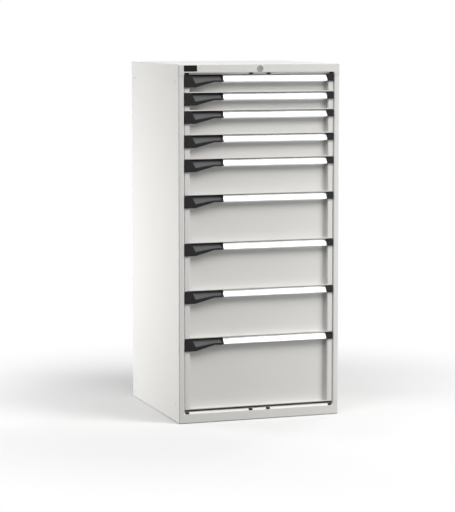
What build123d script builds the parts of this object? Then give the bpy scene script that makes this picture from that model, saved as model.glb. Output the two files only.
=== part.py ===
"""Free-standing steel drawer cabinet with nine full-extension drawers, in millimetres.

The origin is on the floor under the middle of the cabinet. +X is right as seen from
the front, -Y is the front and +Z is up. Depths are counted from the front face of the
top cover towards the back, and turned into Y by at_depth().
"""
import os
from math import hypot, sqrt

from build123d import *

os.makedirs("parts", exist_ok=True)

# Drawers, from the top one down: each height is the room that one drawer takes
drawer_heights = [75.0, 75.0, 100.0, 100.0, 150.0, 200.0, 200.0, 200.0, 300.0]
tray_inside_width = 612.0
tray_inside_depth = 612.0
tray_sheet = 1.5
tray_floor_rise = 5.0
tray_wall_drop = 14.0
tray_hem_width = 6.0

# Drawer front: a recessed panel between two strips that stand forward
panel_setback = 26.0
strip_setback = 5.0
strip_width = 22.0
strip_return = 15.0
front_top_drop = 6.0
fold_radius = 2.0
bottom_hem_height = 4.0
top_return_depth = 12.0

# How far a cutting solid runs past the faces that it opens
overcut = 1.0

# Body of the cabinet
sheet = 1.5
cover_overhang = 1.5
bend_radius = 4.5
cover_edge_radius = 2.5
post_face_width = 21.5
post_bevel = 3.5
bevel = 8.5
side_gap = 2.5
opening_return = 22.0
fascia_height = 34.0
plinth_rail_height = 39.0
plinth_gap = 10.0
cover_lap = 3.5
base_foot_width = 25.0
foot_fold_radius = 4.0
base_hole_radius = 4.0
base_hole_back = 50.0
base_hole_height = 27.0
rear_flange_width = 20.0
rosette_thickness = 2.0

# Rectangular slots in the two bevels across the opening
slot_width = 17.5
slot_margin = 0.5
outer_slot_inset = 11.75
inner_slot_offset = 39.0

# Runners: a fixed, a middle and a drawer member, one inside the other
runner_sheet = 2.0
runner_gap = 0.4
runner_height = 40.0
runner_rise = 10.0
runner_front = 24.0
runner_back_gap = 5.0
fixed_lip_width = 13.75
middle_lip_width = 15.35
middle_runner_setback = 6.0
drawer_runner_front = 30.0
drawer_runner_back_gap = 7.0

# Slotted uprights that carry the fixed runners
upright_width = 22.0
upright_sheet = 2.0
rear_upright_inset = 14.0
upright_slot_pitch = 100.0
upright_slot_height = 12.0
upright_slot_width = 5.0

# Handle profile, measured down from the top of the drawer's room
handle_top_drop = 2.5
handle_height = 28.0
handle_depth = 16.0
handle_right_inset = 26.5
handle_wall = 2.5
handle_lip = 7.0
handle_nose_radius = 3.0
handle_leg = 34.0
handle_leg_wall = 2.0
label_recess = 0.8
label_border_top = 1.7
label_border_bottom = 6.3

# Right end cap and left latch housing
cap_top_drop = 2.5
cap_overhang = 1.5
cap_edge = 1.0
cap_fit = 0.2
housing_width = 172.0
housing_height = 50.5
housing_flat_width = 48.0
housing_slope_width = 83.0

# Latch lever, an inclined plate in a pocket of the housing
lever_top_gap = 2.5
lever_top_inset = 33.0
lever_right_margin = 8.0
lever_bottom_drop = 36.0
lever_waist_drop = 24.0
lever_top_depth = 19.0
lever_bottom_depth = 1.0
lever_thickness = 3.0
lever_gap = 0.6
lever_side_gap = 1.2
lever_floor_gap = 0.8
hinge_inset = 2.0
hinge_depth = 6.5
hinge_rise = 3.5
hinge_fit = 0.3
barrel_radius = 4.0
barrel_height = 14.0
web_height = 6.0
web_skin = 0.8
web_overlap = 3.0
web_end_thickness = 1.0

# Central lock
lock_radius = 14.0
lock_barrel_radius = 11.0
lock_barrel_depth = 24.0
lock_nut_width = 27.0
lock_nut_thickness = 4.0
lock_nut_fit = 0.1
plug_radius = 7.5
plug_proud = 1.2
plug_tail = 2.0
plug_fit = 0.25
key_slot_width = 1.6
key_slot_height = 9.0
key_slot_depth = 10.0
lock_drop = 18.5
shaft_radius = 4.0
crank_gap = 6.0
crank_thickness = 6.0
crank_throw = 6.0
crank_boss_radius = 6.5
crank_pin_radius = 3.0
crank_pin_proud = 2.0

# Lock bar behind the drawers, its guides and the catches on the trays
bar_gap = 6.0
bar_thickness = 3.0
bar_width = 24.0
bar_floor_gap = 3.0
bar_head_width = 40.0
bar_head_height = 24.0
bar_head_top_drop = 16.0
bar_slot_fit = 0.4
bar_to_panel = 23.5
tab_width = 20.0
tab_gap = 7.0
tab_lip_height = 8.0
tab_lip_rise = 5.0
tab_flange = 10.0
tab_sheet = 2.0
catch_width = 30.0
catch_reach = 14.0
catch_rise = 18.0
catch_lip_height = 8.0
catch_flange = 12.0
guided_drawers = [0, 4, 8]
guide_rise = 25.0
guide_length = 30.0
guide_wall = 2.0
guide_lip = 4.0
guide_fit = 0.4
bearing_gap = 3.0
bearing_width = 52.0
bearing_height = 27.0

# Small pieces on the outside
nameplate_width = 57.0
nameplate_height = 25.0
nameplate_thickness = 0.8
nameplate_radius = 3.0
nameplate_side_inset = 24.5
nameplate_top_drop = 4.0
plug_hole_radius = 4.5
plug_head_radius = 6.0
plug_head_thickness = 0.8
plug_stem_sides = 6
plug_stem_length = 4.0
plug_stem_fit = 0.3
plug_edge_depth = 52.0
plug_low = 73.0
plug_high_drop = 72.0

# Sizes that follow from the ones above
tray_half = tray_inside_width / 2 + tray_sheet
strip_outer = tray_half + strip_width
opening_half = strip_outer + side_gap
post_inner = opening_half + post_bevel
body_half = post_inner + post_face_width
cabinet_width = 2 * (body_half + cover_overhang)
tray_front = panel_setback + tray_sheet
tray_back = tray_front + tray_inside_depth + tray_sheet
bearing_depth = tray_back + bearing_gap
crank_depth = bearing_depth + guide_wall + crank_gap
bar_depth = crank_depth + crank_thickness + bar_gap
crank_pin_length = bar_gap + bar_thickness + crank_pin_proud
back_panel_depth = bar_depth + bar_thickness + bar_to_panel
body_back = back_panel_depth + 2 * sheet
cabinet_depth = body_back + cover_overhang
opening_bottom = plinth_rail_height + bevel
stack_bottom = opening_bottom + plinth_gap
stack_top = stack_bottom + sum(drawer_heights)
opening_top = stack_top
cabinet_height = opening_top + bevel + fascia_height
cover_bottom = opening_top - cover_lap
lock_height = cabinet_height - lock_drop
drawer_tops = [stack_top - sum(drawer_heights[:count]) for count in range(len(drawer_heights))]
drawer_bottoms = [top - height for top, height in zip(drawer_tops, drawer_heights)]
slot_centres = [
    outer_slot_inset - opening_half,
    -inner_slot_offset,
    inner_slot_offset,
    opening_half - outer_slot_inset,
]

# Runners and uprights
upright_face = opening_half + sheet
runner_length = tray_back - runner_back_gap - runner_front
middle_runner_length = runner_length - 2 * middle_runner_setback
drawer_runner_length = tray_back - drawer_runner_back_gap - drawer_runner_front
rear_upright_front = runner_front + runner_length - rear_upright_inset - upright_width

# Handle, end caps and lever, from left to right
cap_outer = strip_outer + cap_overhang
housing_flat_end = housing_flat_width - cap_outer
housing_slope_end = housing_flat_end + housing_slope_width
handle_left = housing_width - cap_outer
handle_right = strip_outer - handle_right_inset
cap_height = handle_height + handle_top_drop - cap_top_drop
lever_left_top = lever_top_inset - cap_outer
lever_right = handle_left - lever_right_margin
lever_top_drop = cap_top_drop + lever_top_gap
hinge_x = lever_left_top + hinge_inset
hinge_drop = lever_bottom_drop - hinge_rise


def at_depth(depth):
    """Y of a point this far behind the front face of the top cover."""
    return depth + rosette_thickness / 2 - cabinet_depth / 2


def front_plane(depth):
    """Upright plane that faces the viewer: X to the right, Z up."""
    return Plane.XZ.offset(-at_depth(depth))


def bent_sheet(face_points, thickness):
    """Outline of a folded sheet: one face as given, the other one to the left of it."""
    normals = []
    for start, end in zip(face_points, face_points[1:]):
        run = (end[0] - start[0], end[1] - start[1])
        length = hypot(*run)
        normals.append((-run[1] / length, run[0] / length))
    other_face = []
    for index, (across, along) in enumerate(face_points):
        before = normals[max(index - 1, 0)]
        after = normals[min(index, len(normals) - 1)]
        share = thickness / (1 + before[0] * after[0] + before[1] * after[1])
        shift = ((before[0] + after[0]) * share, (before[1] + after[1]) * share)
        other_face.append((across + shift[0], along + shift[1]))
    return face_points + other_face[::-1]


def draw_face(points):
    """Fill a closed outline in the current sketch."""
    Polygon(*points, align=None)


def draw_plan(points):
    """Fill an outline given as (x, depth) in a sketch that lies flat."""
    draw_face([(x, at_depth(depth)) for x, depth in points])


def block(x_limits, depth_limits, z_limits, mode=Mode.ADD):
    """Add or cut a straight plate or bar given by its limits."""
    with BuildSketch(Plane.XY.offset(z_limits[0])) as plan:
        with Locations((sum(x_limits) / 2, at_depth(sum(depth_limits) / 2))):
            Rectangle(x_limits[1] - x_limits[0], depth_limits[1] - depth_limits[0])
    extrude(plan.sketch, amount=z_limits[1] - z_limits[0], mode=mode)


def round_corner(sketch, x, depth, radius):
    """Round the corner of a flat outline that lies nearest to this point."""
    fillet(sketch.vertices().sort_by_distance((x, at_depth(depth)))[0], radius=radius)


def bracket(face_points, width):
    """Small folded bracket across the middle of the cabinet, its side view as (depth, z)."""
    outline = [(at_depth(depth), height) for depth, height in bent_sheet(face_points, tab_sheet)]
    with BuildPart() as piece:
        with BuildSketch(Plane.YZ.offset(-width / 2)):
            draw_face(outline)
        extrude(amount=width)
    return piece.part


def save(shape, name):
    """Label a finished piece, or a group of solids that share one node, and write it."""
    shape.label = name
    export_step(shape, f"parts/{name}.step")


# Frame round the drawer opening


def opening_solid(front, grow):
    """The opening as a solid, with bevelled edges in front and straight walls behind them."""
    corner_shift = grow * (sqrt(2) - 1)
    half = opening_half + grow
    side_depth = front + post_bevel + corner_shift
    mouth_half = half + post_bevel + corner_shift + overcut
    low = opening_bottom - grow
    high = opening_top + grow
    sill_depth = front + bevel + corner_shift
    sill_reach = bevel + corner_shift + overcut
    with BuildPart() as solid:
        with BuildSketch(Plane.XY.offset(low - sill_reach)):
            draw_plan([
                (-mouth_half, front - overcut),
                (-half, side_depth),
                (-half, opening_return),
                (half, opening_return),
                (half, side_depth),
                (mouth_half, front - overcut),
            ])
        extrude(amount=high - low + 2 * sill_reach)
        with BuildSketch(Plane.YZ.offset(-mouth_half)):
            draw_face([
                (at_depth(front - overcut), low - sill_reach),
                (at_depth(front - overcut), high + sill_reach),
                (at_depth(sill_depth), high),
                (at_depth(opening_return), high),
                (at_depth(opening_return), low),
                (at_depth(sill_depth), low),
            ])
        extrude(amount=2 * mouth_half, mode=Mode.INTERSECT)
    return solid.part


def opening_rim(front, low, high):
    """Folded rim of the opening between two heights."""
    rim_half = body_half - sheet
    with BuildPart() as rim:
        add(opening_solid(front, sheet))
        add(opening_solid(front, 0), mode=Mode.SUBTRACT)
        with BuildSketch(Plane.XY.offset(low)):
            with Locations((0, at_depth((front + opening_return) / 2))):
                Rectangle(2 * rim_half, opening_return - front)
        extrude(amount=high - low, mode=Mode.INTERSECT)
    return rim.part


def cut_bevel_slots(front, low):
    """Cut the row of rectangular slots through a bevel that starts at this height."""
    for centre in slot_centres:
        limits = (centre - slot_width / 2, centre + slot_width / 2)
        height = (low + slot_margin, low + bevel - slot_margin)
        block(limits, (front - overcut, front + bevel + sheet), height, mode=Mode.SUBTRACT)


with BuildPart() as base:
    plan_centre = at_depth((cover_overhang + body_back) / 2)
    plan_depth = body_back - cover_overhang
    with BuildSketch():
        with Locations((0, plan_centre)):
            RectangleRounded(2 * body_half, plan_depth, bend_radius)
    extrude(amount=opening_bottom)
    fillet(base.faces().sort_by(Axis.Z)[0].edges(), radius=foot_fold_radius)
    with BuildPart(mode=Mode.SUBTRACT) as base_inside:
        with BuildSketch(Plane.XY.offset(sheet)):
            with Locations((0, plan_centre)):
                RectangleRounded(2 * (body_half - sheet), plan_depth - 2 * sheet, bend_radius - sheet)
        extrude(amount=opening_bottom - 2 * sheet)
        fillet(base_inside.faces().sort_by(Axis.Z)[0].edges(), radius=foot_fold_radius - sheet)
    with BuildSketch():
        with Locations((0, plan_centre)):
            Rectangle(2 * (body_half - base_foot_width), plan_depth - 2 * base_foot_width)
    extrude(amount=sheet, mode=Mode.SUBTRACT)
    add(opening_rim(cover_overhang, sheet, opening_bottom))
    add(opening_solid(cover_overhang, 0), mode=Mode.SUBTRACT)
    cut_bevel_slots(cover_overhang, plinth_rail_height)
    with BuildSketch(Plane.YZ.offset(-body_half - overcut)):
        with Locations((at_depth(body_back - base_hole_back), base_hole_height)):
            Circle(base_hole_radius)
    extrude(amount=2 * (body_half + overcut), mode=Mode.SUBTRACT)
save(base.part, "base")

with BuildPart() as top_cover:
    plan_centre = at_depth(cabinet_depth / 2)
    with BuildSketch(Plane.XY.offset(cover_bottom)):
        with Locations((0, plan_centre)):
            RectangleRounded(cabinet_width, cabinet_depth, bend_radius + cover_overhang)
    extrude(amount=cabinet_height - cover_bottom)
    fillet(top_cover.faces().sort_by(Axis.Z)[-1].edges(), radius=cover_edge_radius)
    with BuildSketch(Plane.XY.offset(cover_bottom)):
        with Locations((0, plan_centre)):
            RectangleRounded(cabinet_width - 2 * sheet, cabinet_depth - 2 * sheet, bend_radius)
    extrude(amount=cabinet_height - sheet - cover_bottom, mode=Mode.SUBTRACT)
    add(opening_rim(0, cover_bottom, opening_top + bevel + 2 * sheet))
    add(opening_solid(0, 0), mode=Mode.SUBTRACT)
    cut_bevel_slots(0, opening_top)
    with BuildSketch(front_plane(0)):
        with Locations((0, lock_height)):
            Circle(lock_barrel_radius + cap_fit)
    extrude(amount=-2 * sheet, mode=Mode.SUBTRACT)
save(top_cover.part, "top_cover")

# Side and back panels

corner_post = [
    (opening_half, opening_return),
    (opening_half, cover_overhang + post_bevel),
    (post_inner, cover_overhang),
    (body_half, cover_overhang),
    (body_half, body_back),
    (body_half - rear_flange_width, body_back),
]
plug_depths = [plug_edge_depth, cabinet_depth - plug_edge_depth]
plug_heights = [plug_low, cabinet_height - plug_high_drop]

with BuildPart() as side_panel_right:
    with BuildSketch(Plane.XY.offset(opening_bottom)) as profile:
        draw_plan(bent_sheet(corner_post, sheet))
        for depth, inward in ((cover_overhang, sheet), (body_back, -sheet)):
            round_corner(profile, body_half, depth, bend_radius)
            round_corner(profile, body_half - sheet, depth + inward, bend_radius - sheet)
    extrude(amount=cabinet_height - sheet - opening_bottom)
    notch = (opening_half - overcut, post_inner + sheet)
    notch_depth = (0, opening_return + overcut)
    block(notch, notch_depth, (cover_bottom, cabinet_height), mode=Mode.SUBTRACT)
    for depth in plug_depths:
        for height in plug_heights:
            with BuildSketch(Plane.YZ.offset(body_half - 2 * sheet)):
                with Locations((at_depth(depth), height)):
                    Circle(plug_hole_radius)
            extrude(amount=3 * sheet, mode=Mode.SUBTRACT)
save(side_panel_right.part, "side_panel_right")

with BuildPart() as side_panel_left:
    mirror(side_panel_right.part, about=Plane.YZ)
save(side_panel_left.part, "side_panel_left")

with BuildPart() as back_panel:
    back_half = body_half - bend_radius
    back_limits = (back_panel_depth, back_panel_depth + sheet)
    block((-back_half, back_half), back_limits, (opening_bottom, cabinet_height - sheet))
save(back_panel.part, "back_panel")

with BuildPart() as side_hole_plugs:
    for depth in plug_depths:
        for height in plug_heights:
            with BuildSketch(Plane.YZ.offset(body_half)):
                with Locations((at_depth(depth), height)):
                    Circle(plug_head_radius)
            extrude(amount=plug_head_thickness)
            with BuildSketch(Plane.YZ.offset(body_half - plug_stem_length)):
                with Locations((at_depth(depth), height)):
                    RegularPolygon(plug_hole_radius - plug_stem_fit, plug_stem_sides)
            extrude(amount=plug_stem_length)
    mirror(about=Plane.YZ)
save(side_hole_plugs.part, "side_hole_plugs")

# Uprights and fixed runners

with BuildPart() as slotted_uprights:
    wall_inside = body_half - sheet
    slot_rows = int((cover_bottom - stack_bottom) // upright_slot_pitch)
    for front in (runner_front, rear_upright_front):
        channel = [
            (wall_inside, front + upright_width),
            (upright_face, front + upright_width),
            (upright_face, front),
            (wall_inside, front),
        ]
        with BuildSketch(Plane.XY.offset(opening_bottom)):
            draw_plan(bent_sheet(channel, upright_sheet))
        extrude(amount=cover_bottom - opening_bottom)
        with BuildSketch(Plane.YZ.offset(upright_face - overcut)):
            for row in range(slot_rows):
                slot_height = stack_bottom + (row + 0.5) * upright_slot_pitch
                with Locations((at_depth(front + upright_width / 2), slot_height)):
                    Rectangle(upright_slot_width, upright_slot_height)
        extrude(amount=upright_sheet + 2 * overcut, mode=Mode.SUBTRACT)
    mirror(about=Plane.YZ)
save(slotted_uprights.part, "slotted_uprights")


def fixed_runner(bottom):
    """Channel on the right-hand uprights that opens towards the drawer."""
    low = bottom + runner_rise
    inner = upright_face - fixed_lip_width
    channel = [
        (inner, low),
        (upright_face, low),
        (upright_face, low + runner_height),
        (inner, low + runner_height),
    ]
    with BuildSketch(front_plane(runner_front)) as section:
        draw_face(bent_sheet(channel, runner_sheet))
    extrude(section.sketch, amount=-runner_length)


with BuildPart() as cabinet_runners_right:
    for bottom in drawer_bottoms:
        fixed_runner(bottom)
save(cabinet_runners_right.part, "cabinet_runners_right")

with BuildPart() as cabinet_runners_left:
    mirror(cabinet_runners_right.part, about=Plane.YZ)
save(cabinet_runners_left.part, "cabinet_runners_left")

# Central lock

with BuildPart() as lock_housing:
    with BuildSketch(front_plane(0)):
        with Locations((0, lock_height)):
            Circle(lock_radius)
    extrude(amount=rosette_thickness)
    chamfer(lock_housing.faces().sort_by(Axis.Y)[0].edges(), length=rosette_thickness / 2)
    with BuildSketch(front_plane(0)):
        with Locations((0, lock_height)):
            Circle(lock_barrel_radius)
    extrude(amount=-lock_barrel_depth)
    with BuildSketch(front_plane(lock_barrel_depth)):
        with Locations((0, lock_height)):
            Circle(plug_radius + plug_fit)
    extrude(amount=lock_barrel_depth + rosette_thickness, mode=Mode.SUBTRACT)
    # Hexagonal nut that clamps the lock to the back of the fascia
    with BuildSketch(front_plane(sheet)):
        with Locations((0, lock_height)):
            RegularPolygon(lock_nut_width / 2, 6, major_radius=False)
            Circle(lock_barrel_radius + lock_nut_fit, mode=Mode.SUBTRACT)
    extrude(amount=-lock_nut_thickness)
save(lock_housing.part, "lock_housing")

with BuildPart() as lock_plug:
    with BuildSketch(front_plane(lock_barrel_depth + plug_tail)):
        with Locations((0, lock_height)):
            Circle(plug_radius)
    extrude(amount=lock_barrel_depth + plug_tail + plug_proud)
    chamfer(lock_plug.faces().sort_by(Axis.Y)[0].edges(), length=plug_proud / 2)
    with BuildSketch(front_plane(-plug_proud)):
        with Locations((0, lock_height)):
            Rectangle(key_slot_width, key_slot_height)
    extrude(amount=-key_slot_depth, mode=Mode.SUBTRACT)
save(lock_plug.part, "lock_plug")

with BuildPart() as lock_shaft:
    shaft_start = lock_barrel_depth + plug_tail
    crank_pin = (-crank_throw, lock_height - crank_throw)
    with BuildSketch(front_plane(shaft_start)):
        with Locations((0, lock_height)):
            Circle(shaft_radius)
    extrude(amount=-(crank_depth - shaft_start))
    with BuildSketch(front_plane(crank_depth)):
        with Locations((0, lock_height), crank_pin):
            Circle(crank_boss_radius)
        make_hull()
    extrude(amount=-crank_thickness)
    with BuildSketch(front_plane(crank_depth + crank_thickness)):
        with Locations(crank_pin):
            Circle(crank_pin_radius)
    extrude(amount=-crank_pin_length)
save(lock_shaft.part, "lock_shaft")

# Lock bar: it hangs on the crank pin and has an upturned tab welded on for each drawer

with BuildPart() as lock_bar:
    bar_limits = (bar_depth, bar_depth + bar_thickness)
    bar_bottom = opening_bottom + bar_floor_gap
    head_top = cabinet_height - bar_head_top_drop
    head_bottom = head_top - bar_head_height
    block((-bar_width / 2, bar_width / 2), bar_limits, (bar_bottom, head_bottom))
    block((-bar_head_width / 2, bar_head_width / 2), bar_limits, (head_bottom, head_top))
    slot_radius = crank_pin_radius + bar_slot_fit
    pin_swing = crank_throw * (sqrt(2) - 1)
    with BuildSketch(front_plane(bar_depth)):
        with Locations((-crank_throw - pin_swing / 2, lock_height - crank_throw)):
            SlotCenterToCenter(pin_swing, 2 * slot_radius)
    extrude(amount=-bar_thickness, mode=Mode.SUBTRACT)


def lock_tab(bottom):
    """Upturned tab on the bar, which stands behind the catch of a drawer when it is raised."""
    lip_top = bottom + tab_lip_rise
    plate = lip_top - tab_lip_height
    lip_depth = tray_back + tab_gap
    path = [
        (lip_depth, lip_top),
        (lip_depth, plate),
        (bar_depth, plate),
        (bar_depth, plate + tab_flange),
    ]
    return bracket(path, tab_width)


save(Compound(children=[lock_bar.part] + [lock_tab(bottom) for bottom in drawer_bottoms]), "lock_bar")

with BuildPart() as lock_bar_guides:
    pocket_half = bar_width / 2 + guide_fit
    pocket_front = bar_depth - guide_fit
    pocket_back = bar_depth + bar_thickness + guide_fit
    for index in guided_drawers:
        with BuildSketch(Plane.XY.offset(drawer_bottoms[index] + guide_rise)):
            for side in (-1, 1):
                draw_plan([
                    (side * (pocket_half - guide_lip), pocket_front - guide_wall),
                    (side * (pocket_half + guide_wall), pocket_front - guide_wall),
                    (side * (pocket_half + guide_wall), back_panel_depth),
                    (side * pocket_half, back_panel_depth),
                    (side * pocket_half, pocket_front),
                    (side * (pocket_half - guide_lip), pocket_front),
                ])
            draw_plan([
                (-pocket_half, pocket_back),
                (pocket_half, pocket_back),
                (pocket_half, pocket_back + guide_wall),
                (-pocket_half, pocket_back + guide_wall),
            ])
        extrude(amount=guide_length)
    bearing = [
        (-bearing_width / 2, back_panel_depth),
        (-bearing_width / 2, bearing_depth),
        (bearing_width / 2, bearing_depth),
        (bearing_width / 2, back_panel_depth),
    ]
    with BuildSketch(Plane.XY.offset(lock_height - bearing_height / 2)):
        draw_plan(bent_sheet(bearing, guide_wall))
    extrude(amount=bearing_height)
    with BuildSketch(front_plane(bearing_depth)):
        with Locations((0, lock_height)):
            Circle(shaft_radius + plug_fit)
    extrude(amount=-guide_wall, mode=Mode.SUBTRACT)
save(lock_bar_guides.part, "lock_bar_guides")

# Plain plate in the place of the maker's sign

with BuildPart() as nameplate:
    plate_x = (nameplate_width - cabinet_width) / 2 + nameplate_side_inset
    plate_z = cabinet_height - nameplate_top_drop - nameplate_height / 2
    with BuildSketch(front_plane(0)):
        with Locations((plate_x, plate_z)):
            RectangleRounded(nameplate_width, nameplate_height, nameplate_radius)
    extrude(amount=nameplate_thickness)
save(nameplate.part, "nameplate")

# Drawers


def make_tray(bottom, top):
    """Folded tray with its recessed front, the hems and the drawer members of the runners."""
    floor = bottom + tray_floor_rise
    wall_top = top - tray_wall_drop
    front_top = top - front_top_drop
    with BuildPart() as tray:
        with BuildSketch(Plane.XY.offset(floor)):
            with Locations((0, at_depth((panel_setback + tray_back) / 2))):
                Rectangle(2 * tray_half, tray_back - panel_setback)
        extrude(amount=wall_top - floor)
        with BuildSketch(Plane.XY.offset(floor + tray_sheet)):
            with Locations((0, at_depth(tray_front + tray_inside_depth / 2))):
                Rectangle(tray_inside_width, tray_inside_depth)
        extrude(amount=wall_top - floor, mode=Mode.SUBTRACT)
        front = [
            (-strip_outer, strip_setback + strip_return),
            (-strip_outer, strip_setback),
            (-tray_half, strip_setback),
            (-tray_half, panel_setback),
            (tray_half, panel_setback),
            (tray_half, strip_setback),
            (strip_outer, strip_setback),
            (strip_outer, strip_setback + strip_return),
        ]
        with BuildSketch(Plane.XY.offset(bottom)) as plan:
            draw_plan(bent_sheet(front, tray_sheet))
            face_back = strip_setback + tray_sheet
            for fold_x in (-strip_outer, -tray_half, tray_half, strip_outer):
                round_corner(plan, fold_x, strip_setback, fold_radius)
        extrude(amount=front_top - bottom)
        # Hem under the recessed panel, in line with the strips, and the ledge that closes it
        face_back = strip_setback + tray_sheet
        hem_half = tray_half + fold_radius
        block((-hem_half, hem_half), (strip_setback, face_back), (bottom, bottom + bottom_hem_height))
        ledge_half = strip_outer - tray_sheet
        block((-ledge_half, ledge_half), (face_back, panel_setback), (bottom, bottom + tray_sheet))
        # Folded edges along the top of the front panel and of the walls
        fold = (front_top - tray_sheet, front_top)
        block((-tray_half, tray_half), (panel_setback, panel_setback + top_return_depth), fold)
        hem = (wall_top - tray_sheet, wall_top)
        block((-tray_half, tray_half), (tray_back, tray_back + tray_hem_width), hem)
        for side in (-1, 1):
            hem_limits = sorted((side * tray_half, side * (tray_half + tray_hem_width)))
            block(hem_limits, (drawer_runner_front, tray_back), hem)
            add_drawer_runner(side, bottom + runner_rise)
    return tray.part


def make_catch(bottom):
    """Bracket on the back of a tray, which the raised tab of the lock bar holds."""
    plate_top = bottom + catch_rise + tab_sheet
    path = [
        (tray_back + catch_reach, plate_top - catch_lip_height),
        (tray_back + catch_reach, plate_top),
        (tray_back + tab_sheet, plate_top),
        (tray_back + tab_sheet, plate_top + catch_flange),
    ]
    return bracket(path, catch_width)


def add_drawer_runner(side, low):
    """Drawer member of the runner, fixed to the outside of the tray wall."""
    inset = 2 * (runner_sheet + runner_gap)
    reach = upright_face - inset
    channel = [
        (reach, low + runner_height - inset),
        (tray_half, low + runner_height - inset),
        (tray_half, low + inset),
        (reach, low + inset),
    ]
    with BuildSketch(front_plane(drawer_runner_front)) as section:
        draw_face([(side * x, z) for x, z in bent_sheet(channel, runner_sheet)])
    extrude(section.sketch, amount=-drawer_runner_length)


def make_middle_runners(bottom):
    """Middle members of both runners, which slide half as far as the drawer."""
    low = bottom + runner_rise + runner_sheet + runner_gap
    high = bottom + runner_rise + runner_height - runner_sheet - runner_gap
    web = upright_face - runner_sheet - runner_gap
    channel = [(web - middle_lip_width, low), (web, low), (web, high), (web - middle_lip_width, high)]
    with BuildPart() as runners:
        with BuildSketch(front_plane(runner_front + middle_runner_setback)):
            draw_face(bent_sheet(channel, runner_sheet))
        extrude(amount=-middle_runner_length)
        mirror(about=Plane.YZ)
    return runners.part


def make_handle(top):
    """Handle profile: an inclined label face, a rounded lip and a leg against the panel."""
    high = top - handle_top_drop
    low = high - handle_height
    leg_face = panel_setback - handle_leg_wall
    face_length = hypot(handle_depth, handle_height)
    along = (handle_depth / face_length, handle_height / face_length)

    def on_face(rise, inset):
        """Point this far up the label face from the nose, and this far behind it."""
        return (rise * along[0] + inset * along[1], low + rise * along[1] - inset * along[0])

    def behind_wall(height):
        """Point on the back of the label face's wall at this height above the nose."""
        return on_face((height + handle_wall * along[0]) / along[1], handle_wall)

    groove_top = face_length - label_border_top
    section = [
        (0, low),
        on_face(label_border_bottom, 0),
        on_face(label_border_bottom, label_recess),
        on_face(groove_top, label_recess),
        on_face(groove_top, 0),
        (handle_depth, high),
        (panel_setback, high),
        (panel_setback, top - handle_leg),
        (leg_face, top - handle_leg),
        (leg_face, high - handle_wall),
        behind_wall(handle_height - handle_wall),
        behind_wall(handle_wall),
        (handle_lip, low + handle_wall),
        (handle_lip, low),
    ]
    with BuildPart() as handle:
        with BuildSketch(Plane.YZ.offset(handle_left)) as profile:
            draw_face([(at_depth(depth), z) for depth, z in section])
            fillet(profile.vertices().sort_by(Axis.X)[0], radius=handle_nose_radius)
        extrude(amount=handle_right - handle_left)
    return handle.part


def lever_depth(drop):
    """Depth of the lever's outer face at this height below the top of the drawer's room."""
    share = (drop - lever_top_drop) / (lever_bottom_drop - lever_top_drop)
    return lever_top_depth + (lever_bottom_depth - lever_top_depth) * share


def inclined_slab(top, face_offset, thickness, drops):
    """Outline of a plate along the lever's face, moved back by face_offset."""
    return [
        (at_depth(lever_depth(drops[0]) + face_offset), top - drops[0]),
        (at_depth(lever_depth(drops[1]) + face_offset), top - drops[1]),
        (at_depth(lever_depth(drops[1]) + face_offset + thickness), top - drops[1]),
        (at_depth(lever_depth(drops[0]) + face_offset + thickness), top - drops[0]),
    ]


def lever_outline(top, grow, side_gap_left):
    """Front view of the lever, or of its pocket when grown."""
    return [
        (lever_left_top - side_gap_left, top - lever_top_drop + grow),
        (housing_flat_end - side_gap_left, top - lever_bottom_drop - grow),
        (housing_slope_end, top - lever_waist_drop - grow),
        (lever_right + grow, top - lever_waist_drop - grow),
        (lever_right + grow, top - lever_top_drop + grow),
    ]


def lever_pocket(top):
    """Space for the lever in the housing, open to the front and the top."""
    depth_ahead = panel_setback + lever_top_depth
    floor_offset = lever_thickness + lever_floor_gap - depth_ahead
    drops = (cap_top_drop, lever_bottom_drop + lever_gap)
    pocket_left = lever_left_top - lever_side_gap - overcut
    with BuildPart() as pocket:
        with BuildSketch(front_plane(0)):
            draw_face(lever_outline(top, lever_gap, lever_side_gap))
        extrude(amount=-panel_setback)
        with BuildSketch(Plane.YZ.offset(pocket_left)):
            draw_face(inclined_slab(top, floor_offset, depth_ahead, drops))
        extrude(amount=lever_right + lever_gap - pocket_left, mode=Mode.INTERSECT)
    return pocket.part


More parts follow.
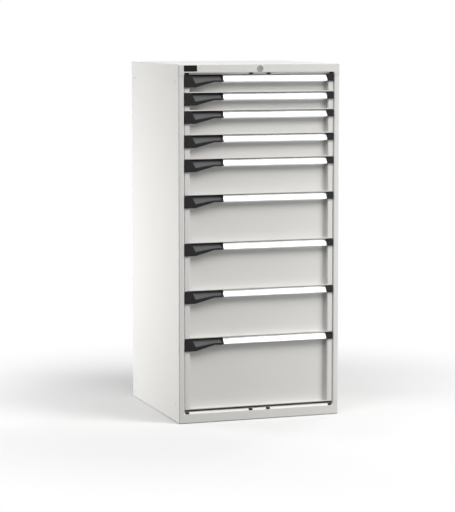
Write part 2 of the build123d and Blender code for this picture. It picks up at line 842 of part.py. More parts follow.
def make_end_caps(top):
    """Black end pieces of the handle: the latch housing on the left, a cap on the right."""
    high = top - cap_top_drop
    face_low = top - handle_top_drop - handle_height
    housing_low = top - cap_top_drop - housing_height
    outline = [
        (-cap_outer, high),
        (-cap_outer, housing_low),
        (housing_flat_end, housing_low),
        (housing_slope_end, face_low),
        (handle_left, face_low),
        (handle_left, high),
    ]
    with BuildPart() as caps:
        with BuildSketch(front_plane(0)):
            draw_face(outline)
        extrude(amount=-panel_setback)
        # Room for the strip of the front behind the left-hand part
        strip_side = (-cap_outer - overcut, cap_fit - tray_half)
        strip_depth = (strip_setback, panel_setback + overcut)
        block(strip_side, strip_depth, (housing_low - overcut, high + overcut), mode=Mode.SUBTRACT)
        front_edges = caps.faces().sort_by(Axis.Y)[0].edges()
        chamfer(front_edges.filter_by(Axis.X, reverse=True), length=cap_edge)
        # Slope of the right-hand rim, in line with the face of the handle
        rim_left = lever_right + lever_gap
        ahead = overcut * handle_depth / handle_height
        with BuildSketch(Plane.YZ.offset(rim_left)):
            draw_face([
                (at_depth(-ahead), face_low - overcut),
                (at_depth(handle_depth + ahead), face_low + handle_height + overcut),
                (at_depth(-ahead), face_low + handle_height + overcut),
            ])
        extrude(amount=handle_left - rim_left, mode=Mode.SUBTRACT)
        add(lever_pocket(top), mode=Mode.SUBTRACT)
        # Bore for the barrel of the lever, and a slot for its web
        hinge_z = top - hinge_drop
        bore_radius = barrel_radius + hinge_fit
        with BuildSketch(Plane.XY.offset(hinge_z - barrel_height / 2 - hinge_fit)):
            with Locations((hinge_x, at_depth(hinge_depth))):
                Circle(bore_radius)
        extrude(amount=barrel_height + 2 * hinge_fit, mode=Mode.SUBTRACT)
        slot_end = housing_flat_end + web_overlap + hinge_fit
        with BuildSketch(Plane.XY.offset(hinge_z - web_height / 2 - hinge_fit)):
            draw_plan([
                (hinge_x, hinge_depth - bore_radius),
                (housing_flat_end - lever_side_gap, web_skin),
                (slot_end, web_skin),
                (slot_end, hinge_depth + bore_radius),
                (hinge_x, hinge_depth + bore_radius),
            ])
        extrude(amount=web_height + 2 * hinge_fit, mode=Mode.SUBTRACT)
        # Right-hand cap: a plate on the strip and a block that closes the end of the handle
        cap_low = high - cap_height
        block((handle_right, cap_outer), (0, strip_setback), (cap_low, high))
        block((handle_right, tray_half - cap_fit), (strip_setback, panel_setback), (cap_low, high))
    return caps.part


def make_lever(top):
    """Latch lever: an inclined plate with a web and the barrel of its hinge at the left end."""
    with BuildPart() as lever:
        with BuildSketch(front_plane(0)):
            draw_face(lever_outline(top, 0, 0))
        extrude(amount=-panel_setback)
        with BuildSketch(Plane.YZ.offset(lever_left_top - overcut)):
            drops = (lever_top_drop, lever_bottom_drop)
            draw_face(inclined_slab(top, 0, lever_thickness, drops))
        extrude(amount=lever_right - lever_left_top + 2 * overcut, mode=Mode.INTERSECT)
        hinge_z = top - hinge_drop
        with BuildSketch(Plane.XY.offset(hinge_z - barrel_height / 2)):
            with Locations((hinge_x, at_depth(hinge_depth))):
                Circle(barrel_radius)
        extrude(amount=barrel_height)
        web_end = housing_flat_end + web_overlap
        web_front = lever_depth(hinge_drop - web_height / 2)
        with BuildSketch(Plane.XY.offset(hinge_z - web_height / 2)):
            draw_plan([
                (hinge_x, hinge_depth - lever_thickness / 2),
                (web_end, web_front),
                (web_end, web_front + web_end_thickness),
                (hinge_x, hinge_depth + lever_thickness / 2),
            ])
        extrude(amount=web_height)
    return lever.part


for number, (bottom, top) in enumerate(zip(drawer_bottoms, drawer_tops), start=1):
    tray_with_catch = Compound(children=[make_tray(bottom, top), make_catch(bottom)])
    save(tray_with_catch, f"drawer_{number}_tray")
    save(make_middle_runners(bottom), f"drawer_{number}_middle_runners")
    save(make_handle(top), f"drawer_{number}_handle")
    save(make_end_caps(top), f"drawer_{number}_end_caps")
    save(make_lever(top), f"drawer_{number}_latch_lever")
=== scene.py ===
# %% [markdown]
# # A steel cabinet with nine drawers
#
# The shapes of this cabinet come from a CAD model, as 60 separate pieces that are already
# the right size and in the right place. This lesson dresses them: it gives every surface
# its finish, adds the thin label strips that the CAD model leaves out, rounds the latch
# housings, and sets up soft studio light and a camera. Lengths are in metres. X runs to
# the right, Y to the back and Z up.

# %% Load the solids
import math

import bmesh
import bpy
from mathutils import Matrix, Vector


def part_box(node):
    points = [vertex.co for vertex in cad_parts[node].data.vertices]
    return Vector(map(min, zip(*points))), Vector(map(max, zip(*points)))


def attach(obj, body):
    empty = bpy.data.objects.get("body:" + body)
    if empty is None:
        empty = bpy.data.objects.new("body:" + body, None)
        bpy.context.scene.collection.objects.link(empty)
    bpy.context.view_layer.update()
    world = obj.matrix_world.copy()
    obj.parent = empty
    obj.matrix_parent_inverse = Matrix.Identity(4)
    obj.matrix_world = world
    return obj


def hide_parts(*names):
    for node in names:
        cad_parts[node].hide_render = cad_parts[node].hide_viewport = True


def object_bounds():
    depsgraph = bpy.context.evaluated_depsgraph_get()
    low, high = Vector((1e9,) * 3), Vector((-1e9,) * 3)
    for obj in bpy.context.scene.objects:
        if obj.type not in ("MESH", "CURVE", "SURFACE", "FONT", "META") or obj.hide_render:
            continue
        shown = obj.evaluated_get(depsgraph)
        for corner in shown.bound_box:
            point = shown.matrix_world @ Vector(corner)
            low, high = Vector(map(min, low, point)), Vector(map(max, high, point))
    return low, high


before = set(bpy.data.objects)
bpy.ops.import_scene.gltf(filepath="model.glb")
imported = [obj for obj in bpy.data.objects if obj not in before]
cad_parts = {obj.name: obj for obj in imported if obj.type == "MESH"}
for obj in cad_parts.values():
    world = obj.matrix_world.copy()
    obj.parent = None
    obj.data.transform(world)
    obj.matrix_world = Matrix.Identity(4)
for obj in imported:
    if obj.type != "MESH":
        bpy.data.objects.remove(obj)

solid_low, solid_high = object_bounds()
drawer_numbers = sorted({int(n.split("_")[1]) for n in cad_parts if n.startswith("drawer_")})
print("pieces:", len(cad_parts), "drawers:", len(drawer_numbers))
print("size in mm:", [round(1000 * side) for side in solid_high - solid_low])

# %% [markdown]
# ## Colours as they are seen
#
# A shader works with linear light, while a colour read off a picture is a screen
# colour. The first helper turns one into the other, with the numbers of the standard curve
# for screens. The Standard view shows a colour as it is written, so that a grey of 210
# comes out as a grey of 210 where the light is plain.

# %% Screen colours to linear ones
scene = bpy.context.scene
scene.view_settings.view_transform = "Standard"


def screen(red, green, blue):
    """A screen colour from 0 to 255 as the linear colour that a shader needs."""
    shares = [level / 255 for level in (red, green, blue)]
    light = [s / 12.92 if s <= 0.04045 else ((s + 0.055) / 1.055) ** 2.4 for s in shares]
    return (*light, 1.0)


def shade(tone, step):
    """A screen colour made lighter by some levels, or darker by a negative number of them."""
    return screen(*[level + step for level in tone])


print("light grey paint:", [round(v, 3) for v in screen(222, 221, 218)])

# %% [markdown]
# ## Building effects once
#
# Powder coat, moulded grain and drawn metal appear on many pieces, so each effect is a
# shader node group: a small machine with named inputs and outputs. The helpers below make
# an empty group, add a node, and wire nodes together. A group here only works out masks,
# values and normals. The shader itself stays in the material, where it can be read and
# exported.

# %% Helpers for nodes and node groups
FLOAT, VECTOR = "NodeSocketFloat", "NodeSocketVector"


def new_group(name, inputs, outputs):
    """An empty shader group with these sockets, and its own input and output nodes."""
    group = bpy.data.node_groups.new(name, "ShaderNodeTree")
    for label, kind, value in inputs:
        socket = group.interface.new_socket(label, in_out="INPUT", socket_type=kind)
        if value is not None:
            socket.default_value = value
    for label, kind in outputs:
        group.interface.new_socket(label, in_out="OUTPUT", socket_type=kind)
    return group, group.nodes.new("NodeGroupInput"), group.nodes.new("NodeGroupOutput")


def feed(socket, source):
    """Join an input socket to another node's output, or give it a plain value."""
    if isinstance(source, bpy.types.NodeSocket):
        socket.id_data.links.new(source, socket)
    else:
        socket.default_value = source


def add(tree, kind, *sources, **named):
    """One node. Sources feed its inputs in order, and named ones the inputs or settings
    that they name, where _ stands for a space."""
    node = tree.nodes.new(kind)
    for name, source in named.items():
        label = name.replace("_", " ")
        if label in node.inputs:
            feed(node.inputs[label], source)
        else:
            setattr(node, name, source)
    for socket, source in zip(node.inputs, sources):
        feed(socket, source)
    return node


def wire(node, **sources):
    """Join inputs of a node that is there already, named with _ for a space."""
    for name, source in sources.items():
        feed(node.inputs[name.replace("_", " ")], source)


def noise(tree, where, scale, detail):
    """The grey values of a noise texture at these coordinates."""
    return add(tree, "ShaderNodeTexNoise", Vector=where, Scale=scale, Detail=detail).outputs["Fac"]


print("helpers ready")

# %% [markdown]
# ## Rounded edges
#
# No folded sheet has a razor edge. The Bevel node bends the normals near an edge as if it
# were rounded, which catches the light the way a real fold does. Comparing the bent normal
# with the true one also shows where the edges are, as a mask for a painted highlight there.

# %% Rounded edges group
# How far the two normals agree on a flat face and on a sharp edge, where 1 is the same
FLAT_MATCH, EDGE_MATCH = 0.99, 0.75

edges, start, end = new_group("Rounded edges", [("Radius", FLOAT, 0.001)],
                              [("Normal", VECTOR), ("Edge", FLOAT)])
bent = add(edges, "ShaderNodeBevel", Radius=start.outputs["Radius"], samples=4).outputs["Normal"]
true = add(edges, "ShaderNodeNewGeometry").outputs["Normal"]
match = add(edges, "ShaderNodeVectorMath", bent, true, operation="DOT_PRODUCT").outputs["Value"]
mask = add(edges, "ShaderNodeMapRange", Value=match, From_Min=FLAT_MATCH, From_Max=EDGE_MATCH)
wire(end, Normal=bent, Edge=mask.outputs["Result"])
print(edges.name, "has", len(edges.nodes), "nodes")

# %% [markdown]
# ## Powder coat
#
# Steel furniture is sprayed with dry powder and baked. The melted powder leaves a faint
# orange peel, dimples of about two millimetres, and the tone drifts very slightly over a
# large panel. Two noises do this: a fine one feeds a Bump node, and a broad one drifts the
# tone and the gloss.

# %% Powder coat group
coat, start, end = new_group(
    "Powder coat",
    [("Peel", FLOAT, 450.0), ("Depth", FLOAT, 0.12), ("Normal", VECTOR, None)],
    [("Normal", VECTOR), ("Drift", FLOAT)])
place = add(coat, "ShaderNodeTexCoord").outputs["Object"]
peel = noise(coat, place, scale=start.outputs["Peel"], detail=2.0)
drift = noise(coat, place, scale=3.0, detail=3.0)
dimple = add(coat, "ShaderNodeBump", Distance=0.0004, Height=peel,
             Normal=start.outputs["Normal"], Strength=start.outputs["Depth"])
wire(end, Normal=dimple.outputs["Normal"], Drift=drift)
print(coat.name, "has", len(coat.nodes), "nodes")

# %% [markdown]
# ## Moulded grain
#
# The black caps and the grey levers are moulded plastic. Their mould is spark eroded, which
# leaves a fine, even, pebbled grain well under a millimetre. A Voronoi texture gives the
# pebbles, and a broad noise gives the patches where hands have polished it a little.

# %% Moulded grain group
grain, start, end = new_group(
    "Moulded grain",
    [("Size", FLOAT, 1500.0), ("Depth", FLOAT, 0.2), ("Normal", VECTOR, None)],
    [("Normal", VECTOR), ("Handled", FLOAT)])
place = add(grain, "ShaderNodeTexCoord").outputs["Object"]
pebble = add(grain, "ShaderNodeTexVoronoi", Vector=place, Scale=start.outputs["Size"])
handled = noise(grain, place, scale=25.0, detail=3.0)
rough = add(grain, "ShaderNodeBump", Distance=0.0003, Height=pebble.outputs["Distance"],
            Normal=start.outputs["Normal"], Strength=start.outputs["Depth"])
wire(end, Normal=rough.outputs["Normal"], Handled=handled)
print(grain.name, "has", len(grain.nodes), "nodes")

# %% [markdown]
# ## Drawn metal
#
# An aluminium profile is pressed through a die and a zinc-plated runner is rolled, so both
# carry fine lines along their length. A noise that is stretched hard along one axis gives
# the lines. The Stretch input says along which axis: a small number there makes it long.

# %% Drawn metal group
drawn, start, end = new_group(
    "Drawn metal",
    [("Stretch", VECTOR, (2.0, 900.0, 900.0)), ("Depth", FLOAT, 0.1), ("Normal", VECTOR, None)],
    [("Normal", VECTOR), ("Line", FLOAT), ("Cloud", FLOAT)])
place = add(drawn, "ShaderNodeTexCoord").outputs["Object"]
longer = add(drawn, "ShaderNodeVectorMath", place, start.outputs["Stretch"], operation="MULTIPLY")
line = noise(drawn, longer.outputs["Vector"], scale=1.0, detail=2.0)
cloud = noise(drawn, place, scale=40.0, detail=4.0)
ridge = add(drawn, "ShaderNodeBump", Distance=0.0002, Height=line,
            Normal=start.outputs["Normal"], Strength=start.outputs["Depth"])
wire(end, Normal=ridge.outputs["Normal"], Line=line, Cloud=cloud)
print(drawn.name, "has", len(drawn.nodes), "nodes")

# %% [markdown]
# ## A material is a finish
#
# Each material has one Principled shader. Its constant values, such as how metallic it is,
# are typed into the shader's own sockets. Only what changes over the surface comes in
# through a wire: the colour, the roughness and the normal.

# %% Helpers for materials
finishes = {}
# A Mix node carries sockets for every kind of data, and these are its colour ones
MIX_FIRST, MIX_SECOND, MIX_RESULT = 6, 7, 2


def new_finish(name, **values):
    """A material with one Principled shader, whose constant values are set on its sockets."""
    material = bpy.data.materials.new(name)
    material.use_nodes = True
    shader = material.node_tree.nodes["Principled BSDF"]
    wire(shader, **values)
    finishes[name] = material
    return material.node_tree, shader


def use(tree, group, **values):
    """One of the effect groups placed in a material, with its own values."""
    return add(tree, "ShaderNodeGroup", node_tree=group, **values)


def blend_colour(tree, share, first, second):
    """A colour between two others, by a share that changes over the surface."""
    mix = add(tree, "ShaderNodeMix", data_type="RGBA", Factor=share)
    feed(mix.inputs[MIX_FIRST], first)
    feed(mix.inputs[MIX_SECOND], second)
    return mix.outputs[MIX_RESULT]


def blend_value(tree, share, low, high):
    """A plain number between two others, by a share that changes over the surface."""
    return add(tree, "ShaderNodeMapRange", Value=share, To_Min=low, To_Max=high).outputs["Result"]


print("material helpers ready")

# %% [markdown]
# ## Painted steel
#
# The body and the drawers have the same light grey powder coat, a warm grey that is nearly
# white. On the drawers it is a touch darker, as painted shade for the shade under their
# handles, so one function makes both finishes, each with its own tone. Along the edges the
# colour is a little lighter, a painted highlight.

# %% Painted steel
# Steps of tone, in screen levels, where the coat drifts to either side and the painted highlight
# on its edges
COAT_DARKER, COAT_LIGHTER, COAT_EDGE_HIGHLIGHT = -3, 2, 6
COAT_GLOSSY, COAT_DULL = 0.5, 0.6


def painted_steel(name, tone, radius):
    """Satin powder coat: orange peel, a slow drift of tone, and softer edges with a painted
    highlight.
    """
    tree, shader = new_finish(name, Specular_IOR_Level=0.25)
    edge = use(tree, edges, Radius=radius)
    film = use(tree, coat, Normal=edge.outputs["Normal"], Depth=0.1)
    drifted = blend_colour(tree, film.outputs["Drift"], shade(tone, COAT_DARKER),
                           shade(tone, COAT_LIGHTER))
    # The edge mask lightens the colour along the edges: a painted highlight
    colour = blend_colour(tree, edge.outputs["Edge"], drifted, shade(tone, COAT_EDGE_HIGHLIGHT))
    gloss = blend_value(tree, film.outputs["Drift"], COAT_GLOSSY, COAT_DULL)
    wire(shader, Base_Color=colour, Roughness=gloss, Normal=film.outputs["Normal"])


painted_steel("cabinet_paint", tone=(226, 225, 222), radius=0.0015)
# The drawers' darker tone is painted shade, for the shade under their handles
painted_steel("drawer_paint", tone=(224, 223, 220), radius=0.0012)
print("paints:", sorted(finishes))

# %% [markdown]
# ## Moulded plastic
#
# The caps and latch housings are black, the levers are dark grey, the small hole plugs match
# the paint, and the plain plate on the top cover is black and smooth. All are the same kind
# of plastic, so one function makes them from a tone, a roughness and a depth of grain.

# %% Moulded plastic
# Steps of tone, in screen levels, and of roughness between handled patches and the rest
PLASTIC_DARKER, PLASTIC_LIGHTER, PLASTIC_WEAR = -3, 4, 0.06


def moulded_plastic(name, tone, roughness, depth):
    """Matt moulded plastic with a fine grain and slightly polished patches."""
    tree, shader = new_finish(name, Specular_IOR_Level=0.2)
    edge = use(tree, edges, Radius=0.0006)
    skin = use(tree, grain, Normal=edge.outputs["Normal"], Depth=depth)
    colour = blend_colour(tree, skin.outputs["Handled"], shade(tone, PLASTIC_DARKER),
                          shade(tone, PLASTIC_LIGHTER))
    worn = blend_value(tree, skin.outputs["Handled"], roughness - PLASTIC_WEAR,
                       roughness + PLASTIC_WEAR)
    wire(shader, Base_Color=colour, Roughness=worn, Normal=skin.outputs["Normal"])


moulded_plastic("black_plastic", tone=(26, 26, 27), roughness=0.5, depth=0.2)
moulded_plastic("lever_plastic", tone=(84, 84, 85), roughness=0.52, depth=0.2)
moulded_plastic("plug_plastic", tone=(214, 213, 210), roughness=0.5, depth=0.1)
moulded_plastic("plate_plastic", tone=(10, 10, 11), roughness=0.25, depth=0.03)
print("paints and plastics:", sorted(finishes))

# %% [markdown]
# ## Bare metal
#
# The handles are anodised aluminium profiles, the runners and the lock's inner parts are
# zinc-plated steel, and the lock is satin nickel. Metal has no colour of its own under the
# surface: its shine is tinted instead, so Metallic is 1 and the base colour is that tint.

# %% Bare metal
# Step of roughness between the fine lines and the metal beside them
LINE_WEAR = 0.08


def bare_metal(name, dark, light, roughness, stretch, depth):
    """Metal with fine lines along one axis and a cloudy change of tone."""
    tree, shader = new_finish(name, Metallic=1.0)
    edge = use(tree, edges, Radius=0.0005)
    face = use(tree, drawn, Normal=edge.outputs["Normal"], Stretch=stretch, Depth=depth)
    colour = blend_colour(tree, face.outputs["Cloud"], screen(*dark), screen(*light))
    gloss = blend_value(tree, face.outputs["Line"], roughness - LINE_WEAR, roughness + LINE_WEAR)
    wire(shader, Base_Color=colour, Roughness=gloss, Normal=face.outputs["Normal"])


bare_metal("handle_aluminium", dark=(205, 206, 208), light=(218, 219, 221),
           roughness=0.4, stretch=(3.0, 1200.0, 1200.0), depth=0.1)
bare_metal("zinc_steel", dark=(176, 180, 184), light=(206, 209, 212),
           roughness=0.36, stretch=(900.0, 3.0, 900.0), depth=0.08)
bare_metal("lock_metal", dark=(140, 140, 140), light=(168, 168, 167),
           roughness=0.34, stretch=(900.0, 900.0, 900.0), depth=0.05)
print("finishes so far:", sorted(finishes))

# %% [markdown]
# ## Finishes go onto the solids
#
# The CAD record names a finish for every piece, and the loaded pieces carry that name as
# their material. Apart from the latch housings their shapes stay as they are, so each one
# only gets the better material of the same name in its slot.

# %% Give every solid its finish
used = {}
for name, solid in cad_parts.items():
    for slot in solid.material_slots:
        slot_name = slot.material.name.split(".")[0]
        slot.material = finishes[slot_name]
        used.setdefault(slot_name, []).append(name)
for slot_name, names in sorted(used.items()):
    print(slot_name, "on", len(names), "pieces")

# %% [markdown]
# ## Latch housings with a sloping rim
#
# Around each lever the housing has only a thin rim, which leans back in line with the label
# face of the handle, so that the lever lies open to the light. The CAD piece keeps a
# straight top edge there. It could be modelled anew, but cutting a copy keeps the pocket and
# the hinge bore where the lever needs them. This cell makes the wedge that is cut away.

# %% The wedge ahead of the rim
# The label face of a handle, in a side view: how far it leans back, and over what height
FACE_RUN, FACE_RISE = 0.016, 0.028
# Where the sloping rim begins, from the housing's left end and down from its top
RIM_START, RIM_DROP = 0.0302, 0.0021
# How far the wedge reaches past the housing, and past it into the handle, and how much
# wider it is at its top, so that the rim's left end slopes too
REACH, HANDLE_REACH, FLARE = 0.004, 0.0002, 0.003
# Corners 0 to 3 are below, and 4 to 7 above them in the same order
WEDGE_FACES = ((0, 1, 3, 2), (4, 5, 7, 6), (0, 1, 5, 4), (1, 3, 7, 5), (3, 2, 6, 7), (2, 0, 4, 6))


def finished_mesh(name, shape):
    """The mesh of a shape that was built in memory, which is then let go."""
    mesh = bpy.data.meshes.new(name)
    shape.to_mesh(mesh)
    shape.free()
    return mesh


def put_in_scene(name, data):
    """An object that shows a mesh, a lamp or a camera."""
    thing = bpy.data.objects.new(name, data)
    scene.collection.objects.link(thing)
    return thing


def rim_wedge(low, high, handle_left):
    """The space ahead of the sloping rim, for a housing with these corners."""
    shape = bmesh.new()
    right, near = handle_left + HANDLE_REACH, low.y - REACH
    corners = []
    for z, flare in ((high.z - RIM_DROP, 0.0), (high.z + REACH, FLARE)):
        left = low.x + RIM_START - flare
        far = low.y + (FACE_RUN + FACE_RUN / FACE_RISE * (z - high.z))
        corners += [shape.verts.new((x, y, z)) for x in (left, right) for y in (near, far)]
    for face in WEDGE_FACES:
        shape.faces.new([corners[i] for i in face])
    bmesh.ops.recalc_face_normals(shape, faces=shape.faces)
    return finished_mesh("rim_wedge", shape)


caps_low, caps_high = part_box("drawer_1_end_caps")
wedge = put_in_scene("rim_wedge", rim_wedge(caps_low, caps_high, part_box("drawer_1_handle")[0].x))
print("wedge corners:", len(wedge.data.vertices))

# %% [markdown]
# Four modifiers do the work on the copy: Weld joins its loose triangles, Boolean takes the
# wedge away, Decimate makes each flat face one face again, and Bevel rounds the edges, as
# on any moulded part. The result is kept as a mesh, and both helpers are deleted.

# %% The housing of the first drawer, cut and rounded
def modify(thing, kind, **settings):
    """A modifier with these settings, after those that the thing has."""
    modifier = thing.modifiers.new(kind.lower(), kind)
    for name, value in settings.items():
        setattr(modifier, name, value)


model = put_in_scene("housing_model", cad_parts["drawer_1_end_caps"].data.copy())
modify(model, "WELD", merge_threshold=1e-6)
modify(model, "BOOLEAN", object=wedge, solver="EXACT")
modify(model, "DECIMATE", decimate_type="DISSOLVE", angle_limit=math.radians(1.0))
modify(model, "BEVEL", width=0.0004, segments=2, angle_limit=math.radians(30.0))
built = model.evaluated_get(bpy.context.evaluated_depsgraph_get())
housing_mesh = bpy.data.meshes.new_from_object(built)
for helper in (wedge, model):
    bpy.data.objects.remove(helper)
print("housing faces:", len(housing_mesh.polygons))

# %% [markdown]
# All nine housings are alike, so one mesh serves them all. Each goes down to the height of
# its own drawer, rides with it, and stands in for the CAD piece there.

# %% Nine housings
for number in drawer_numbers:
    housing = put_in_scene(f"latch_housing_{number}", housing_mesh)
    housing.location.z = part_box(f"drawer_{number}_end_caps")[1].z - caps_high.z
    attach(housing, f"drawer_{number}")
    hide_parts(f"drawer_{number}_end_caps")
print("housings:", len(drawer_numbers))

# %% [markdown]
# ## Label strips under clear covers
#
# Along the sloping face of each handle runs a shallow groove. A strip of white card lies in
# it, and a clear plastic cover snaps over the card. Both are too thin for the CAD model, so
# they are made here. Seen from the side each one is a flat outline, and the helper pulls
# that outline along X, just as a real cover is drawn out in one long length. It makes the
# faces one by one, which gives them the same order in every run.

# %% Helper for profiles that run along X
# How far the label face's top edge lies ahead of the handle's back, and where its groove
# begins and ends, measured down the face, and how deep it is
FACE_BEHIND = 0.010
GROOVE_TOP, GROOVE_END, GROOVE_DEPTH = 0.0017, 0.0259, 0.0008


def pulled_profile(name, outline, left, right, finish, bevel=0.0):
    """A piece with this (y, z) outline, pulled from left to right, with softened edges."""
    shape = bmesh.new()
    first, last = [[shape.verts.new((x, y, z)) for y, z in outline] for x in (left, right)]
    shape.faces.new(first)
    shape.faces.new(last)
    for here in range(len(outline)):
        before = here - 1
        shape.faces.new((first[before], first[here], last[here], last[before]))
    bmesh.ops.recalc_face_normals(shape, faces=shape.faces)
    if bevel:
        bmesh.ops.bevel(shape, geom=shape.edges[:], offset=bevel, segments=2, affect="EDGES",
                        profile=0.5, clamp_overlap=True)
    mesh = finished_mesh(name, shape)
    mesh.materials.append(finishes[finish])
    return put_in_scene(name, mesh)


def on_face(handle_high, down, out):
    """A point on the label face: metres down from its top edge, and out from the face."""
    length = math.hypot(FACE_RUN, FACE_RISE)
    back = (FACE_RUN * down + FACE_RISE * out) / length
    drop = (FACE_RISE * down - FACE_RUN * out) / length
    return (handle_high.y - FACE_BEHIND - back, handle_high.z - drop)


print("label face slopes", round(math.degrees(math.atan2(FACE_RUN, FACE_RISE))), "degrees")

# %% [markdown]
# The card is plain bright white, with a hint of paper fibre. The cover is clear plastic: a
# transparent shader for shadow rays lets the lamps reach the card, as thin plastic does.

# %% Card and clear plastic
tree, shader = new_finish("label_card", Roughness=0.75, Specular_IOR_Level=0.3)
fibre = use(tree, grain, Size=2500.0, Depth=0.06)
white = blend_colour(tree, fibre.outputs["Handled"], screen(249, 249, 249), screen(253, 253, 253))
wire(shader, Base_Color=white, Normal=fibre.outputs["Normal"])

tree, shader = new_finish("clear_cover", Transmission_Weight=1.0, IOR=1.46)
ripple = use(tree, coat, Peel=120.0, Depth=0.05)
gloss = blend_value(tree, ripple.outputs["Drift"], 0.02, 0.06)
tint = blend_colour(tree, ripple.outputs["Drift"], screen(252, 252, 252), screen(255, 255, 255))
wire(shader, Base_Color=tint, Roughness=gloss, Normal=ripple.outputs["Normal"])
ray = add(tree, "ShaderNodeLightPath")
passing = add(tree, "ShaderNodeBsdfTransparent")
choice = add(tree, "ShaderNodeMixShader", ray.outputs["Is Shadow Ray"], shader.outputs["BSDF"],
             passing.outputs["BSDF"])
wire(tree.nodes["Material Output"], Surface=choice.outputs["Shader"])
print("card and cover:", [name for name in finishes if name in ("label_card", "clear_cover")])

# %% [markdown]
# The card lies on the floor of the groove, and the cover lies over it and comes level with
# the label face. Both stop just short of the handle's ends.

# %% Nine cards and nine covers
def groove_strip(margin, bottom, top):
    """Side view of a flat strip in the groove: its margins, and how high its faces lie."""
    first, last = GROOVE_TOP + margin, GROOVE_END - margin
    lowest, highest = bottom - GROOVE_DEPTH, top - GROOVE_DEPTH
    return [(first, lowest), (last, lowest), (last, highest), (first, highest)]


CARD = groove_strip(margin=0.0002, bottom=0.00002, top=0.00027)
COVER = groove_strip(margin=0.0001, bottom=0.0003, top=0.0008)
CARD_SHORTER, COVER_SHORTER, COVER_ROUNDING = 0.001, 0.0003, 0.0002
for number in drawer_numbers:
    low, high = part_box(f"drawer_{number}_handle")
    strip = pulled_profile(f"label_card_{number}", [on_face(high, *p) for p in CARD],
                           low.x + CARD_SHORTER, high.x - CARD_SHORTER, "label_card")
    cover = pulled_profile(f"label_cover_{number}", [on_face(high, *p) for p in COVER],
                           low.x + COVER_SHORTER, high.x - COVER_SHORTER, "clear_cover",
                           bevel=COVER_ROUNDING)
    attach(strip, f"drawer_{number}")
    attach(cover, f"drawer_{number}")
print("last handle is", round(1000 * (high.x - low.x)), "mm long")

# %% [markdown]
# ## Floor and background
#
# The cabinet stands in a plain white studio. The camera sees a white floor that fades into
# a white background, in metal and through clear plastic too, and the soft shadow is kept
# near the cabinet. Other light meets a darker grey floor, which bounces less of it back up,
# so that the shade under the handles stays deep.

# %% White floor
# The floor's grey as it is seen near the cabinet, and as other light meets it
FLOOR_SEEN, FLOOR_BOUNCE = (229, 229, 229), (122, 122, 122)
# How far from the cabinet's middle the fade into white begins and ends
FADE_FROM, FADE_TO = 0.75, 1.9
# Half the width of the floor, and the gap that keeps it clear of the base
FLOOR_REACH, FLOOR_GAP = 30.0, 0.0005


def is_seen(tree):
    """1 for what the camera sees, in metal and through plastic too, and 0 for other light."""
    ray = add(tree, "ShaderNodeLightPath").outputs
    either = add(tree, "ShaderNodeMath", ray["Is Camera Ray"], ray["Is Glossy Ray"],
                 operation="MAXIMUM").outputs["Value"]
    return add(tree, "ShaderNodeMath", either, ray["Is Transmission Ray"],
               operation="MAXIMUM").outputs["Value"]


def floor_material():
    """Floor that is seen as white, apart from the shadow near the cabinet."""
    material = bpy.data.materials.new("studio_floor")
    material.use_nodes = True
    tree = material.node_tree
    tree.nodes.remove(tree.nodes["Principled BSDF"])
    place = add(tree, "ShaderNodeTexCoord").outputs["Object"]
    far = add(tree, "ShaderNodeVectorMath", place, operation="LENGTH").outputs["Value"]
    fade = add(tree, "ShaderNodeMapRange", interpolation_type="SMOOTHSTEP", Value=far,
               From_Min=FADE_FROM, From_Max=FADE_TO)
    shadowed = add(tree, "ShaderNodeBsdfDiffuse", Color=screen(*FLOOR_SEEN))
    white = add(tree, "ShaderNodeEmission", Strength=1.0)
    near = add(tree, "ShaderNodeMixShader", fade.outputs["Result"], shadowed.outputs["BSDF"],
               white.outputs["Emission"])
    plain = add(tree, "ShaderNodeBsdfDiffuse", Color=screen(*FLOOR_BOUNCE))
    both = add(tree, "ShaderNodeMixShader", is_seen(tree), plain.outputs["BSDF"],
               near.outputs["Shader"])
    wire(tree.nodes["Material Output"], Surface=both.outputs["Shader"])
    return material


shape = bmesh.new()
bmesh.ops.create_grid(shape, x_segments=1, y_segments=1, size=FLOOR_REACH)
floor = put_in_scene("studio_floor", finished_mesh("studio_floor", shape))
floor.data.materials.append(floor_material())
floor.location.z = solid_low.z - FLOOR_GAP
print("floor at", round(floor.location.z, 4))

# %% [markdown]
# ## Light
#
# Four large lamps stand far off and high up, two of them to the right and left of the front.
# Their light comes from well above, so the recessed drawer fronts are shaded just under each
# handle and grow brighter below. Light from a pale floor would wash that shade out, which is
# why the floor bounces only a little. A low lamp on the right makes its side of the front
# brighter, one on the left lights the left side from further back, and one behind the
# cabinet fills in the faces that the camera doesn't see.

# %% World and lamps
AROUND_STRENGTH = 0.05
WHITE = (1.0, 1.0, 1.0, 1.0)

world = bpy.data.worlds.new("studio")
world.use_nodes = True
scene.world = world
tree = world.node_tree
around = tree.nodes["Background"]
wire(around, Color=WHITE, Strength=AROUND_STRENGTH)
backdrop = add(tree, "ShaderNodeBackground", Color=WHITE, Strength=1.0)
pick = add(tree, "ShaderNodeMixShader", is_seen(tree), around.outputs["Background"],
           backdrop.outputs["Background"])
wire(tree.nodes["World Output"], Surface=pick.outputs["Shader"])


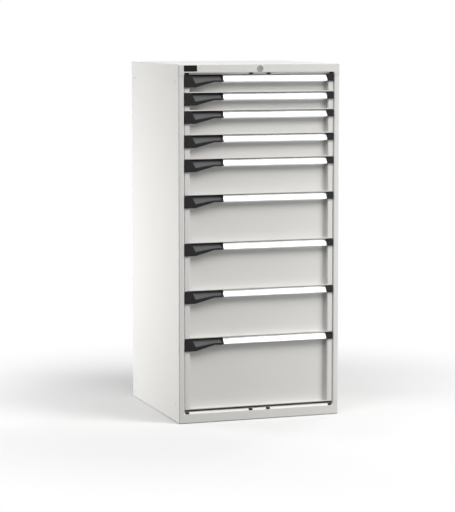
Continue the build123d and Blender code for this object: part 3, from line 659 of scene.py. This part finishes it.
def soft_lamp(name, place, aim, size, power):
    """A square area lamp of this size, which points at a spot. Power is in watts."""
    data = bpy.data.lights.new(name, "AREA")
    data.size = size
    data.energy = power
    lamp = put_in_scene(name, data)
    lamp.location = place
    lamp.rotation_euler = (Vector(aim) - Vector(place)).to_track_quat("-Z", "Y").to_euler()


soft_lamp("overhead", (0.0, -2.2, 9.0), aim=(0.0, -0.2, 0.8), size=6.5, power=230.0)
soft_lamp("high_front", (0.0, -4.5, 8.0), aim=(0.0, -0.2, 0.8), size=5.0, power=130.0)
soft_lamp("far_right", (5.0, -5.0, 7.0), aim=(0.0, 0.0, 0.8), size=4.0, power=470.0)
soft_lamp("far_left", (-5.0, -4.0, 7.0), aim=(0.0, 0.0, 0.8), size=4.0, power=190.0)
soft_lamp("low_right", (1.5, -1.5, 0.6), aim=(0.3, -0.3, 0.6), size=1.0, power=11.5)
soft_lamp("beside", (-2.4, 1.5, 0.5), aim=(-0.36, 0.3, 0.5), size=1.2, power=66.0)
soft_lamp("behind", (4.5, 4.0, 1.4), aim=(0.2, 0.2, 0.8), size=2.5, power=150.0)

# %% [markdown]
# ## Camera
#
# The photograph was taken from the left of the front, from a little higher than the top of
# the cabinet, with a long lens. Its upright edges stay nearly upright, which a downward
# shift of the frame explains: the camera tilts only a little, and the frame slides down.

# %% Camera at the photograph's viewing angle
# The turn to the right and the tilt down, in radians, and the lens, in millimetres
YAW, PITCH = 0.3288, 0.0899
FOCAL_LENGTH, SENSOR_WIDTH = 141.99, 36.0
# The frame's slide, as a share of its height
FRAME_SHIFT = -51.0 / 512.0
STAND = (-2.8534, -8.2873, 1.6703)

lens = bpy.data.cameras.new("camera")
lens.lens = FOCAL_LENGTH
lens.sensor_width = SENSOR_WIDTH
lens.shift_y = FRAME_SHIFT
lens.clip_end = 100.0
camera = put_in_scene("camera", lens)
camera.location = STAND
camera.rotation_euler = (math.pi / 2 - PITCH, 0.0, -YAW)
scene.camera = camera
print("camera", [round(v, 2) for v in camera.location])
